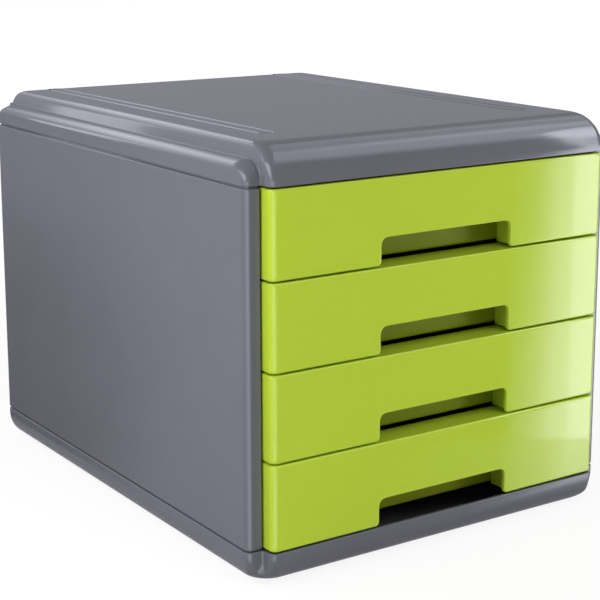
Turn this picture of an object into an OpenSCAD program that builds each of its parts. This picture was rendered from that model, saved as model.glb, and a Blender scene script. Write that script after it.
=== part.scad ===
// Desktop file drawer: a free-standing cabinet for papers, with four pull-out drawers.
// Millimetres. The origin is on the surface that the cabinet stands on, under the middle of
// its footprint. +X is to the right, +Y runs from the drawer fronts to the back, +Z is up.

/* [Housing] */
// Width over the two side panels
case_w = 292; // [270:1:330]
// Depth of the side panels, front edge to back
case_d = 364; // [340:1:420]
// How far the raised centre band and the drawer fronts stand ahead of the side panels
band_proj = 10.5; // [5:0.5:13]
// Width of each side panel seen from the front, which is also the inset of the raised band
side_t = 11.5; // [10.5:0.5:15]
// Wall thickness of the moulded cover, base and side panels
wall = 3; // [2.4:0.1:3.4]
// Radius of the upright outer corners
corner_r = 5; // [4:0.5:6]
// Shadow gap where the side panels meet the cover and the base
seam_gap = 0.8; // [0.4:0.1:1.2]
// Depth of that shadow gap into the wall
seam_depth = 1.5; // [0.8:0.1:2]
// Length of the lip behind each side panel's front edge
return_l = 12; // [8:0.5:12.5]
// Thickness of that lip
return_t = 2; // [1.5:0.1:2.5]
// Thickness of the back panel
back_t = 2.5; // [2:0.1:3]
// Distance of the back panel's pressed field from the edges around it
field_edge = 14; // [8:1:30]
// Depth of that field
field_depth = 0.8; // [0.4:0.1:1.2]
// Corner radius of that field
field_r = 8; // [3:1:12]
// How far the back panel reaches into the base and into the cover
back_tuck = 6; // [3:0.5:8]

/* [Base] */
// Height of the base from its underside to its rim
base_h = 21.5; // [20:0.5:26]
// Radius of the rounded lower edges of the base at its front and sides
base_round = 12.5; // [8:0.5:15]
// Thickness of the base's floor
floor_t = 2.5; // [2:0.1:3]
// Height of a foot below the base
foot_h = 2; // [1:0.5:4]
// Radius of a foot
foot_r = 9; // [6:0.5:12]
// Depth of the pocket that a foot is glued into
foot_pocket = 1; // [0.5:0.1:1.4]
// Distance of the feet from the sides of the housing
foot_inset_x = 34; // [30:1:50]
// Distance of the feet from the front and back of the housing
foot_inset_y = 40; // [34:1:60]

/* [Cover] */
// Height of the cover from its rim to its flat top
cover_h = 24.8; // [24.2:0.1:32]
// Height of the low shoulder along each side of the cover
shoulder_h = 14.5; // [12:0.1:16]
// Radius along the outer edge of the shoulder
shoulder_r = 9.5; // [6:0.5:10]
// Radius along the two long top edges of the raised band
band_r = 8.5; // [6:0.5:10]
// Radius of the cover's front edge, where the top turns down to the drawers
nose_r = 24; // [14:0.5:24]
// Radius of the cover's rear edge, where the top turns down behind
tail_r = 15; // [8:0.5:16]
// Radius of the base's lower rear edge
rear_r = 3.5; // [3.2:0.1:5]
// Distance of each stacking groove's centre line from the middle of the cover
rail_x = 103.6; // [90:0.2:108]
// Distance between the two long sides of a stacking groove's loop
rail_w = 10.3; // [6:0.1:12]
// Width of the groove at the surface
rail_cut = 2.4; // [1.2:0.1:3]
// Depth of the groove
rail_depth = 0.9; // [0.4:0.1:1.2]
// Distance from the front of the band to the groove's loop
rail_front = 52; // [30:1:70]
// Distance from the back of the cover to the groove's loop
rail_rear = 18; // [17:1:40]

/* [Drawers] */
// Height from one drawer to the next
drawer_pitch = 57; // [54:0.5:70]
// Gap above and below each drawer front
front_gap = 1.2; // [0.8:0.1:2]
// Gap between a drawer front and the side panel beside it
side_gap = 0.8; // [0.5:0.1:1.5]
// Depth of a drawer front, from its face to the tray behind it
front_d = 20.5; // [16:0.5:24]
// Wall thickness of a drawer front
skin_t = 2.8; // [2:0.1:3]
// Radius of the upright edges of a drawer front
front_r = 5; // [3.5:0.5:6]
// Radius of the upper and lower edges of a drawer front
front_edge_r = 1.6; // [0.8:0.1:2]
// Wall thickness of a tray
tray_t = 2; // [1.6:0.1:2.5]
// Radius of a tray's upright corners
tray_r = 8; // [4:0.5:12]
// Height of a tray's underside above the lower edge of its front
tray_lift = 1; // [0.8:0.1:2]
// Height of a tray's rim below the upper edge of its front
tray_drop = 5; // [4:0.5:10]
// Clearance between a tray's side and the runner ledge beside it
tray_gap = 1.5; // [0.8:0.1:2.5]
// Clearance between the back of a tray and the back panel
tray_rear_gap = 9; // [6:1:20]
// How far a drawer pulls out before its lugs meet the stops
travel = 255; // [150:5:280]

/* [Handle notch] */
// Width of the notch in the lower edge of a drawer front
notch_w = 105.5; // [90:0.5:130]
// Height of the notch
notch_h = 18; // [15:0.5:22]
// Radius of the notch's upper corners
notch_r = 5; // [3:0.5:7]
// Radius of the outward turn at the notch's lower corners
notch_flare = 2.5; // [2:0.5:5]
// How much wider the space behind the notch is, on each side
pocket_extra = 5.5; // [4:0.5:10]

/* [Runners] */
// Thickness of a runner plate
plate_t = 2.2; // [1.8:0.1:2.6]
// Width of a runner ledge
ledge_w = 5.5; // [4.5:0.5:7]
// Thickness of a runner ledge, of the guide above it and of a tray's flange
ledge_t = 2; // [1.6:0.1:2.5]
// Height of a tray's flange above the lower edge of its front
flange_z = 38; // [30:0.5:42]
// How far a tray's flange lies over its ledge
flange_over = 3.5; // [3:0.5:4]
// Running clearance between a flange and its ledge
run_gap = 0.3; // [0.2:0.05:0.4]
// Height of the catch lug on a tray's flange
lug_h = 4; // [3:0.5:5]
// Length of the catch lug
lug_l = 3; // [2:0.5:5]
// How far the guide above a flange reaches over the lug, to stop it
lug_bite = 2; // [1:0.5:2.5]
// Number of upright stiffening ribs between a side panel and its runner plate
rib_count = 5; // [3:1:7]
// Width of a stiffening rib
rib_t = 2; // [1.6:0.1:3]

/* [Fixings] */
// Radius of a case screw's shank
screw_r = 1.5; // [1.2:0.1:1.8]
// Radius of its head
head_r = 3.2; // [2.6:0.1:3.4]
// Thickness of its head
head_h = 1.4; // [1:0.1:1.5]
// Length of its shank
screw_l = 12; // [10:1:16]
// Width of the cross recess in its head
slot_t = 0.8; // [0.5:0.1:1]
// How much wider than the shank the pilot hole is, all round
pilot_gap = 0.05; // [0.02:0.01:0.1]
// Radius of the boss that a screw is driven into
boss_r = 4; // [3.4:0.1:4.2]
// Distance of the screws from the side of the housing
screw_inset_x = 19; // [18:0.5:22]
// Distance of the screws from the front and back of the housing
screw_inset_y = 62; // [55:1:80]
// Width of a clip that holds a drawer front to its tray
clip_w = 14; // [10:1:20]
// Thickness of a clip
clip_t = 2.2; // [1.6:0.1:2.6]
// Depth of the hook at a clip's end
clip_hook = 1.2; // [0.8:0.1:1.5]
// Distance of the clips from the middle of a drawer front
clip_x = 96; // [80:1:105]
// Clearance around a clip and around a screw's shank
fit_gap = 0.3; // [0.2:0.05:0.4]
// How far a clip reaches past the tray's front wall
clip_reach = 2.2; // [1.8:0.1:3]
// Width of a snap tongue under the cover
tongue_w = 18; // [12:1:30]
// Thickness of a snap tongue
tongue_t = 2; // [1.5:0.1:2.4]
// How far a snap tongue reaches below the cover's rim
tongue_l = 12; // [8:1:16]

/* [Hidden] */
$fn = 64;
eps = 0.01;
over = 1;

// The number of drawers, which are named one by one from the top
drawer_count = 4;

// Places along X
case_hw = case_w / 2;
band_hw = case_hw - side_t;
return_hw = band_hw + side_gap;
skin_hw = case_hw - wall;
plate_out = band_hw;
plate_in = plate_out - plate_t;
ledge_in = plate_in - ledge_w;
tray_hw = ledge_in - tray_gap;
flange_hw = ledge_in + flange_over;
guide_in = flange_hw - lug_bite;
back_hw = skin_hw - max(corner_r - wall, 0) - fit_gap;
foot_x = case_hw - foot_inset_x;
screw_x = case_hw - screw_inset_x;
pocket_hw = notch_w / 2 + pocket_extra;

// Places along Y
y_front = -(case_d + band_proj) / 2;
y_case = y_front + band_proj;
y_rear = y_case + case_d;
y_tray = y_front + front_d;
y_back = y_rear - wall - back_t;
y_tray_end = y_back - tray_rear_gap;
y_plate = y_tray + 2 * run_gap;
y_plate_end = y_back - run_gap;
y_lug = y_tray_end - tray_r - lug_l;
y_stop = y_lug - travel - run_gap;

// Places along Z
z_base = foot_h;
z_floor = z_base + floor_t;
z_rim = z_base + base_h;
z_cover = z_rim + drawer_count * drawer_pitch + front_gap;
z_top = z_cover + cover_h;
z_seat = z_cover + back_tuck;
z_screw_end = z_base + head_h + screw_l;

// Sizes that follow from the others
front_h = drawer_pitch - front_gap;
tray_h = front_h - tray_lift - tray_drop;
tongue_step = case_d / 3.2;
hollow_round = max(base_round - wall, over);
// The base's rounded corner stands this high above its floor under the outside of a plate
corner_run = max(plate_out - skin_hw + hollow_round, 0);
z_plate = z_floor + fit_gap + hollow_round - sqrt(pow(hollow_round, 2) - pow(corner_run, 2));
// The shoulder's rear edge starts to round where the back panel ends under it
shoulder_tail = shoulder_h - back_tuck;

// Where the four feet are: front left, front right, rear left, rear right
feet = [
    [-foot_x, y_front + foot_inset_y], [foot_x, y_front + foot_inset_y],
    [-foot_x, y_rear - foot_inset_y], [foot_x, y_rear - foot_inset_y]
];
screw_rows = [y_case + screw_inset_y, y_rear - screw_inset_y];

housing_grey = [0.47, 0.47, 0.50];
frame_grey = [0.36, 0.36, 0.38];
front_green = [0.67, 0.76, 0.22];
tray_green = [0.58, 0.67, 0.20];
foot_black = [0.09, 0.09, 0.10];
screw_steel = [0.62, 0.63, 0.65];

// Height of the lower edge of drawer k's front, counted from the top
function drawer_z(k) = z_rim + front_gap + (drawer_count - k) * drawer_pitch;

// ---- outlines ----

// What a radius r takes off the lower left corner of a rectangle
module corner_waste(r) {
    difference() {
        translate([-over, -over])
            square([r + over, r + over]);
        translate([r, r])
            circle(r = r);
        translate([0, r])
            square([r + over, over]);
    }
}

// A rectangle from low to high whose corners have their own radii:
// lower left, lower right, upper right, upper left
module cornered(low, high, radii) {
    size = high - low;
    difference() {
        translate(low)
            square(size);
        if (radii[0] > 0)
            translate(low)
                corner_waste(radii[0]);
        if (radii[1] > 0)
            translate([high[0], low[1]])
                mirror([1, 0])
                    corner_waste(radii[1]);
        if (radii[2] > 0)
            translate(high)
                rotate(180)
                    corner_waste(radii[2]);
        if (radii[3] > 0)
            translate([low[0], high[1]])
                mirror([0, 1])
                    corner_waste(radii[3]);
    }
}

// Stands a drawing of Y and Z up and extrudes it across the cabinet, from x0 to x1
module across(x0, x1) {
    translate([x0, 0, 0])
        rotate([90, 0, 90])
            linear_extrude(x1 - x0)
                children();
}

// Stands a drawing of X and Z up and extrudes it from front to back, from y0 to y1
module along(y0, y1) {
    translate([0, y1, 0])
        rotate([90, 0, 0])
            linear_extrude(y1 - y0)
                children();
}

// Makes the same thing at both sides of the cabinet
module both_sides() {
    children();
    mirror([1, 0, 0])
        children();
}

// ---- cover ----

// A block with rounded long edges, a rounded front edge and rounded upright corners
module cover_block(hw, y0, y1, height, side_r, front_r, back_r, upright_r) {
    intersection() {
        along(y0, y1)
            cornered([-hw, z_cover], [hw, z_cover + height], [0, 0, side_r, side_r]);
        across(-hw, hw)
            cornered([y0, z_cover], [y1, z_cover + height], [0, 0, back_r, front_r]);
        translate([0, 0, z_cover])
            linear_extrude(height)
                cornered([-hw, y0], [hw, y1], [upright_r, upright_r, upright_r, upright_r]);
    }
}

// The cut of one stacking groove, with sloped sides, as a closed loop
module rail_groove() {
    flank = rail_cut / 2;
    run_0 = y_front + rail_front + rail_w / 2;
    run_1 = y_rear - rail_rear - rail_w / 2;
    profile = [[-flank, eps], [flank, eps], [flank / 3, -rail_depth], [-flank / 3, -rail_depth]];
    translate([rail_x, 0, z_top]) {
        for (side = [-1, 1])
            translate([side * rail_w / 2, 0, 0])
                along(run_0, run_1)
                    polygon(profile);
        translate([0, run_1, 0])
            rotate_extrude(angle = 180)
                translate([rail_w / 2, 0])
                    polygon(profile);
        translate([0, run_0, 0])
            rotate([0, 0, 180])
                rotate_extrude(angle = 180)
                    translate([rail_w / 2, 0])
                        polygon(profile);
    }
}

// A tongue that hangs inside the side panel and keeps the cover in place
module snap_tongue() {
    x = skin_hw - run_gap;
    translate([x - tongue_t, -tongue_w / 2, z_cover - tongue_l])
        cube([tongue_t, tongue_w, tongue_l + shoulder_h - wall]);
}

module top_cover() {
    inner_r = max(band_r - wall, over);
    color(housing_grey) {
        difference() {
            union() {
                cover_block(case_hw, y_case, y_rear, shoulder_h, shoulder_r, shoulder_h - over,
                    shoulder_tail, corner_r);
                cover_block(band_hw, y_front, y_rear, cover_h, band_r, nose_r, tail_r, front_r);
            }
            translate([0, 0, -eps]) {
                cover_block(skin_hw, y_case + wall, y_rear - wall, shoulder_h - wall,
                    max(shoulder_r - wall, over), shoulder_h - wall - over,
                    max(shoulder_tail - wall, over), over);
                cover_block(band_hw - wall, y_front + wall, y_rear - wall, cover_h - wall,
                    inner_r, nose_r - wall, tail_r - wall, over);
            }
            both_sides()
                rail_groove();
        }
        both_sides() {
            for (place = [-1:1])
                translate([0, place * tongue_step + (y_case + y_rear) / 2, 0])
                    snap_tongue();
            // Rib that the runner frame's upper edge stands under
            translate([plate_in, y_plate, z_seat])
                cube([plate_t, y_plate_end - y_plate, shoulder_h - back_tuck - wall + over]);
        }
    }
}

// ---- base ----

// A block whose lower edges are rounded, with rounded upright corners
module base_block(hw, y0, y1, z0, side_r, front_r, back_r, upright_r) {
    intersection() {
        along(y0, y1)
            cornered([-hw, z0], [hw, z_rim], [side_r, side_r, 0, 0]);
        across(-hw, hw)
            cornered([y0, z0], [y1, z_rim], [front_r, back_r, 0, 0]);
        translate([0, 0, z0])
            linear_extrude(z_rim - z0)
                cornered([-hw, y0], [hw, y1], [upright_r, upright_r, upright_r, upright_r]);
    }
}

// Puts a thing at each of the two screws on the right-hand side
module at_screws() {
    for (y = screw_rows)
        translate([screw_x, y, 0])
            children();
}

module base() {
    color(housing_grey)
        difference() {
            union() {
                base_block(case_hw, y_case, y_rear, z_base, base_round, base_round, rear_r, corner_r);
                base_block(band_hw, y_front, y_rear, z_base, base_round, base_round, rear_r, front_r);
            }
            translate([0, 0, eps]) {
                base_block(skin_hw, y_case + wall, y_rear - wall, z_floor, hollow_round,
                    hollow_round, over, over);
                base_block(band_hw - wall, y_front + wall, y_rear - wall, z_floor, hollow_round,
                    hollow_round, over, over);
            }
            for (place = feet)
                translate(place)
                    cylinder(r = foot_r + fit_gap / 2, h = z_base + foot_pocket);
            both_sides()
                at_screws() {
                    cylinder(r = screw_r + fit_gap, h = z_rim);
                    cylinder(r = head_r + fit_gap, h = z_base + head_h);
                }
        }
}

// ---- side panels ----

// The right-hand panel seen from above, with its outer faces set in by shave
module panel_plan(shave) {
    outer_r = corner_r - shave;
    difference() {
        cornered([return_hw, y_case + shave], [case_hw - shave, y_rear - shave],
            [0, outer_r, outer_r, 0]);
        cornered([return_hw - over, y_case + wall], [skin_hw, y_rear - wall],
            [0, corner_r - wall, corner_r - wall, 0]);
    }
    translate([return_hw, y_case + shave])
        square([return_t, return_l - shave]);
}

// The panel's outer faces end short of the cover and base, which leaves the shadow gaps
module side_panel() {
    translate([0, 0, z_rim])
        linear_extrude(z_cover - z_rim)
            panel_plan(seam_depth);
    translate([0, 0, z_rim + seam_gap])
        linear_extrude(z_cover - z_rim - 2 * seam_gap)
            panel_plan(0);
}

module left_side_panel() {
    color(housing_grey)
        mirror([1, 0, 0])
            side_panel();
}

module right_side_panel() {
    color(housing_grey)
        side_panel();
}

// ---- runner frames ----

// Where stiffening rib i starts, spread evenly between the plate's ends
function rib_y(i) = y_plate + side_t
    + i * (y_plate_end - y_plate - 2 * side_t - rib_t) / (rib_count - 1);

// One drawer's ledge, and the guide above its flange, whose back end stops the lug
module runner(z) {
    translate([ledge_in, y_plate, z + flange_z - run_gap - ledge_t])
        cube([ledge_w + eps, y_plate_end - y_plate, ledge_t]);
    translate([guide_in, y_plate, z + flange_z + ledge_t + 2 * run_gap])
        cube([plate_in - guide_in + eps, y_stop - y_plate, ledge_t]);
}

// A boss beside the plate that a case screw is driven up into
module screw_boss() {
    boss_h = z_screw_end + wall - z_plate;
    difference() {
        union() {
            translate([0, 0, z_plate])
                cylinder(r = boss_r, h = boss_h);
            translate([0, -rib_t / 2, z_plate])
                cube([plate_in - screw_x + eps, rib_t, boss_h]);
        }
        cylinder(r = screw_r + pilot_gap, h = z_screw_end + over);
    }
}

// The right-hand frame: a plate with ledges and guides inside it and ribs outside it
module runner_frame() {
    rib_top = z_cover - tongue_l - over;
    translate([plate_in, y_plate, z_plate])
        cube([plate_t, y_plate_end - y_plate, z_seat - z_plate]);
    for (k = [1:drawer_count])
        runner(drawer_z(k));
    for (i = [0:rib_count - 1])
        translate([plate_out - eps, rib_y(i), z_rim + over])
            cube([skin_hw - plate_out + eps, rib_t, rib_top - z_rim - over]);
    at_screws()
        screw_boss();
}

module left_runner_frame() {
    color(frame_grey)
        mirror([1, 0, 0])
            runner_frame();
}

module right_runner_frame() {
    color(frame_grey)
        runner_frame();
}

// ---- back panel ----

// A flat sheet behind the side panels' rear returns, with a shallow pressed field
module back_panel() {
    height = z_seat - z_rim + back_tuck;
    color(housing_grey)
        difference() {
            translate([-back_hw, y_back, z_rim - back_tuck])
                cube([2 * back_hw, back_t, height]);
            along(y_rear - wall - field_depth, y_rear)
                cornered([-band_hw + field_edge, z_rim + field_edge],
                    [band_hw - field_edge, z_cover - field_edge],
                    [field_r, field_r, field_r, field_r]);
        }
}

// ---- drawers ----

// The notch in the lower edge of a front, seen from the front
module notch_outline(z) {
    hw = notch_w / 2;
    cornered([-hw, z - over], [hw, z + notch_h], [0, 0, notch_r, notch_r]);
    for (side = [0, 1])
        mirror([side, 0])
            translate([hw - eps, z - over])
                difference() {
                    square([notch_flare + eps, notch_flare + over]);
                    translate([notch_flare + eps, notch_flare + over])
                        circle(r = notch_flare);
                }
}

// The clip at the back of a front, which hooks through a slot in the tray
module clip(z) {
    run = front_d - skin_t + tray_t + clip_reach;
    translate([clip_x - clip_w / 2, y_front + skin_t - eps, z])
        cube([clip_w, run, clip_t]);
    translate([clip_x - clip_w / 2, y_front + skin_t + run - clip_reach + fit_gap, z])
        cube([clip_w, clip_reach - fit_gap, clip_t + clip_hook]);
}

// A front: a hollow moulding, open at the back, with the notch and the space behind it
module drawer_front(k) {
    z = drawer_z(k);
    inner_r = max(front_r - skin_t, over);
    color(front_green) {
        difference() {
            intersection() {
                translate([0, 0, z])
                    linear_extrude(front_h)
                        cornered([-band_hw, y_front], [band_hw, y_tray], [front_r, front_r, 0, 0]);
                across(-band_hw, band_hw)
                    cornered([y_front, z], [y_tray, z + front_h],
                        [front_edge_r, 0, 0, front_edge_r]);
            }
            translate([0, 0, z + skin_t])
                linear_extrude(front_h - 2 * skin_t)
                    cornered([-band_hw + skin_t, y_front + skin_t], [band_hw - skin_t, y_tray + over],
                        [inner_r, inner_r, 0, 0]);
            along(y_front - over, y_tray + over)
                notch_outline(z);
            translate([-pocket_hw, y_front + skin_t, z - over])
                cube([2 * pocket_hw, front_d, skin_t + 2 * over]);
        }
        both_sides() {
            translate([pocket_hw, y_front + skin_t - eps, z])
                cube([rib_t, front_d - skin_t + eps, front_h - skin_t + eps]);
            clip(z + front_h / 2);
        }
    }
}

// The flange along a tray's side that runs on the ledge, with its catch lug
module tray_flange(z) {
    translate([tray_hw - eps, y_tray + tray_t, z + flange_z])
        cube([flange_hw - tray_hw + eps, y_tray_end - tray_r - y_tray - tray_t, ledge_t]);
    translate([guide_in, y_tray_end - tray_r - lug_l, z + flange_z + ledge_t - eps])
        cube([flange_hw - guide_in, lug_l, lug_h + eps]);
}

// A tray: an open box with flanges, slotted for the clips of its front
module drawer_tray(k) {
    z = drawer_z(k);
    low = z + tray_lift;
    inner_r = max(tray_r - tray_t, over);
    color(tray_green)
        difference() {
            union() {
                translate([0, 0, low])
                    linear_extrude(tray_h)
                        cornered([-tray_hw, y_tray], [tray_hw, y_tray_end], [0, 0, tray_r, tray_r]);
                // The front wall stands up to the top of the front
                translate([-tray_hw, y_tray, low])
                    cube([2 * tray_hw, tray_t, front_h - skin_t - tray_lift]);
                both_sides()
                    tray_flange(z);
            }
            translate([0, 0, low + tray_t])
                linear_extrude(tray_h)
                    cornered([-tray_hw + tray_t, y_tray + tray_t],
                        [tray_hw - tray_t, y_tray_end - tray_t], [0, 0, inner_r, inner_r]);
            both_sides()
                translate([clip_x - clip_w / 2 - fit_gap, y_tray - over, z + front_h / 2 - fit_gap])
                    cube([clip_w + 2 * fit_gap, tray_t + 2 * over, clip_t + 2 * fit_gap]);
        }
}

module drawer_1_front() {
    drawer_front(1);
}

module drawer_2_front() {
    drawer_front(2);
}

module drawer_3_front() {
    drawer_front(3);
}

module drawer_4_front() {
    drawer_front(4);
}

module drawer_1_tray() {
    drawer_tray(1);
}

module drawer_2_tray() {
    drawer_tray(2);
}

module drawer_3_tray() {
    drawer_tray(3);
}

module drawer_4_tray() {
    drawer_tray(4);
}

// ---- feet and screws ----

// A rubber pad with a softened lower edge, glued into its pocket
module foot(place) {
    edge = foot_h / 2;
    color(foot_black)
        translate(place)
            rotate_extrude()
                cornered([0, 0], [foot_r, foot_h + foot_pocket], [0, edge, 0, 0]);
}

module foot_front_left() {
    foot(feet[0]);
}

module foot_front_right() {
    foot(feet[1]);
}

module foot_rear_left() {
    foot(feet[2]);
}

module foot_rear_right() {
    foot(feet[3]);
}

// One pan-head screw with a cross recess, driven up from under the base
module case_screw() {
    slot = screw_r * 2.4;
    difference() {
        union() {
            translate([0, 0, z_base])
                cylinder(r = head_r, h = head_h);
            translate([0, 0, z_base + head_h - eps])
                cylinder(r = screw_r, h = screw_l + eps);
        }
        for (turn = [0, 90])
            rotate(turn)
                translate([-slot / 2, -slot_t / 2, z_base - over])
                    cube([slot, slot_t, over + head_h / 2]);
    }
}

module case_screws() {
    color(screw_steel)
        both_sides()
            at_screws()
                case_screw();
}

// ---- the assembly ----

top_cover();
base();
left_side_panel();
right_side_panel();
left_runner_frame();
right_runner_frame();
back_panel();
drawer_1_front();
drawer_2_front();
drawer_3_front();
drawer_4_front();
drawer_1_tray();
drawer_2_tray();
drawer_3_tray();
drawer_4_tray();
foot_front_left();
foot_front_right();
foot_rear_left();
foot_rear_right();
case_screws();
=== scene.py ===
import math
import bmesh
import bpy
from mathutils import Matrix, Vector


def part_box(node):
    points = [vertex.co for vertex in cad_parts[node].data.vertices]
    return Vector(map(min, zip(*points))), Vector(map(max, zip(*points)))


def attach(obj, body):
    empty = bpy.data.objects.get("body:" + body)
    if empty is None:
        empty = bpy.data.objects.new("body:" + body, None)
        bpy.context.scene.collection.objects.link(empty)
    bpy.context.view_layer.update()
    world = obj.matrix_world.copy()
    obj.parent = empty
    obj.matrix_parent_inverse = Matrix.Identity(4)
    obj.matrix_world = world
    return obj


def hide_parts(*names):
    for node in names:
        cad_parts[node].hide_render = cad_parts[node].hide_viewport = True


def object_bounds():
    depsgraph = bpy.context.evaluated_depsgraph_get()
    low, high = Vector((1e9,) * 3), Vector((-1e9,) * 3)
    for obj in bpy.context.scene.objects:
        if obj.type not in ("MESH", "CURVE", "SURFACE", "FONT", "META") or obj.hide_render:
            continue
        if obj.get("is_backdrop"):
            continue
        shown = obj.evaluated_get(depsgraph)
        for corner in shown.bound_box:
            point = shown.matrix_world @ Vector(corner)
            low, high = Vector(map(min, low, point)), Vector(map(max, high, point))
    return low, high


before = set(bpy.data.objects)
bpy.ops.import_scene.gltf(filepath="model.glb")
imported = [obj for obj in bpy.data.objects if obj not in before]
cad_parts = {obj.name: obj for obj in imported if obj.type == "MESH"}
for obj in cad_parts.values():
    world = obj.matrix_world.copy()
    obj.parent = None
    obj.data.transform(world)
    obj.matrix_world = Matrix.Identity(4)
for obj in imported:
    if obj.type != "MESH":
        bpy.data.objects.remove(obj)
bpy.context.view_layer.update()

# ---- Base ----
# The base is one shallow tray, injection-moulded in grey ABS from a polished mould. Its lower edges
# are well rounded, and a raised band as wide as the drawers runs down its front. Rubber feet sit
# in pockets under it, and four screws go up through it into the frames that carry the drawers.
base_low, base_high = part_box("base")
panel_low, panel_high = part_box("right_side_panel")
face_low, face_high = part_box("drawer_1_front")
screws_low, screws_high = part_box("case_screws")
case_x = panel_high.x
case_front = panel_low.y
case_rear = panel_high.y
band_x = face_high.x
band_front = face_low.y
wall = 0.003
upright_round = 0.005
base_floor = 0.0025
base_reach = 0.0138
base_tall = 0.0180
base_band_reach = 0.0165
base_band_tall = 0.0190
base_corner_growth = 0.35
merged_corner = 0.0155
smallest_corner = 0.001
rear_round = 0.0040
rim_round = 0.0006
cove_at_rim = 0.0022
cove_below = 0.0050
step_fades_from = 0.35
step_gone_at = 0.95
foot_pocket_gap = 0.00015
foot_pocket_bevel = 0.0004
screw_hole = 0.0018
screw_head_hole = 0.0035
screw_head_radius = 0.0032
screw_head_height = 0.0014
screw_way_bevel = 0.0003
hair = 0.00001
cut_past = 0.002
sharp_edge = math.radians(38)
feet = ("foot_front_left", "foot_front_right", "foot_rear_left", "foot_rear_right")


def rounded(corners, steps=9):
    """Points round a closed outline of square corners, each (x, y, radius), with as many at each."""
    reach = []
    for i, (x, y, radius) in enumerate(corners):
        reach.append(radius)
        for other in (corners[i - 1], corners[(i + 1) % len(corners)]):
            edge = abs(other[0] - x) + abs(other[1] - y)
            if radius + other[2] > edge:
                reach[i] = min(reach[i], edge * radius / max(radius + other[2], 1e-9))
    points = []
    for i, (x, y, _) in enumerate(corners):
        here = Vector((x, y))
        back = Vector(corners[i - 1][:2]) - here
        ahead = Vector(corners[(i + 1) % len(corners)][:2]) - here
        back.normalize()
        ahead.normalize()
        for step in range(steps + 1):
            turn = math.pi / 2 * step / steps
            pull = back * (1 - math.sin(turn)) + ahead * (1 - math.cos(turn))
            points.append(here + pull * reach[i])
    return points


def drawn_in(reach, depth, tall=None):
    """How far a rounded edge stands back from its side at a depth, if it is as tall as it reaches in."""
    part = depth / (tall or reach)
    if part >= 1.0:
        return 0.0
    return reach * (1.0 - math.sqrt(1.0 - (1.0 - part) ** 2))


def arc_depths(radius, steps):
    """Depths that divide a rounded edge into even turns, from its side to its top."""
    return [radius * (1 - math.sin(math.pi / 2 * i / steps)) for i in range(steps + 1)]


def quarter_turn(radius, steps=4):
    """Pairs (down, across) round a softened edge, from its side to its top."""
    turns = [math.pi / 2 * i / steps for i in range(steps + 1)]
    return [(radius * (1 - math.sin(turn)), radius * (1 - math.cos(turn))) for turn in turns]


def levels_up(start, end, steps):
    """Heights evenly spaced between two others, without the ends."""
    return [start + (end - start) * i / steps for i in range(1, steps)]


def walls(shell, rings):
    """Adds rings of as many points each and the faces between them, and returns the rings' points."""
    rows = [[shell.verts.new(point) for point in ring] for ring in rings]
    for row, following in zip(rows, rows[1:]):
        for i in range(len(row)):
            j = (i + 1) % len(row)
            shell.faces.new((row[i], row[j], following[j], following[i]))
    return rows


def join_points(shell):
    """Joins the points of a mesh that fall together."""
    bmesh.ops.remove_doubles(shell, verts=shell.verts, dist=1e-6)
    bmesh.ops.dissolve_degenerate(shell, edges=shell.edges, dist=1e-7)


def solid(name, shell):
    """Makes the object of a finished mesh."""
    join_points(shell)
    bmesh.ops.recalc_face_normals(shell, faces=shell.faces)
    mesh = bpy.data.meshes.new(name)
    shell.to_mesh(mesh)
    shell.free()
    piece = bpy.data.objects.new(name, mesh)
    bpy.context.scene.collection.objects.link(piece)
    return piece


def moulding(name, rings):
    """A closed shell through rings of as many points each, capped flat at the first and last."""
    shell = bmesh.new()
    rows = walls(shell, rings)
    shell.faces.new(rows[0])
    shell.faces.new(rows[-1])
    return solid(name, shell)


def combine(piece, operation, tools):
    """Cuts tools out of a piece, or joins them to it, and throws the tools away."""
    for tool in tools:
        change = piece.modifiers.new(operation.lower(), "BOOLEAN")
        change.operation = operation
        change.solver = "EXACT"
        change.object = tool
    graph = bpy.context.evaluated_depsgraph_get()
    mesh = bpy.data.meshes.new_from_object(piece.evaluated_get(graph))
    piece.modifiers.clear()
    piece.data = mesh
    for tool in tools:
        bpy.data.objects.remove(tool)


def turned(name, place, profile, sides=40):
    """A round piece, from (radius, height) pairs going up."""
    turns = [2 * math.pi * i / sides for i in range(sides)]
    return moulding(name, [[place + Vector((radius * math.cos(t), radius * math.sin(t), height))
                            for t in turns] for radius, height in profile])


def polish(piece, material):
    """Smooths a finished mesh between its sharp edges and gives it its material."""
    piece.data.polygons.foreach_set("use_smooth", [True] * len(piece.data.polygons))
    piece.data.set_sharp_from_angle(angle=sharp_edge)
    even = piece.modifiers.new("even_faces", "WEIGHTED_NORMAL")
    even.keep_sharp = True
    piece.data.materials.clear()
    piece.data.materials.append(material)


def add(tree, kind, inputs, **settings):
    """Adds a shader node with its settings; its inputs are values or other nodes' outputs."""
    node = tree.nodes.new(kind)
    for name, value in settings.items():
        setattr(node, name, value)
    for name, value in inputs.items():
        if isinstance(value, bpy.types.NodeSocket):
            tree.links.new(value, node.inputs[name])
        else:
            node.inputs[name].default_value = value
    return node


def effect(name, inputs, outputs):
    """A shader node group with named sockets: its tree, its input node and its output node."""
    tree = bpy.data.node_groups.new(name, "ShaderNodeTree")
    for label, kind, value in inputs:
        socket = tree.interface.new_socket(label, in_out="INPUT", socket_type=kind)
        socket.default_value = value
    for label, kind in outputs:
        tree.interface.new_socket(label, in_out="OUTPUT", socket_type=kind)
    return tree, tree.nodes.new("NodeGroupInput"), tree.nodes.new("NodeGroupOutput")


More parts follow.
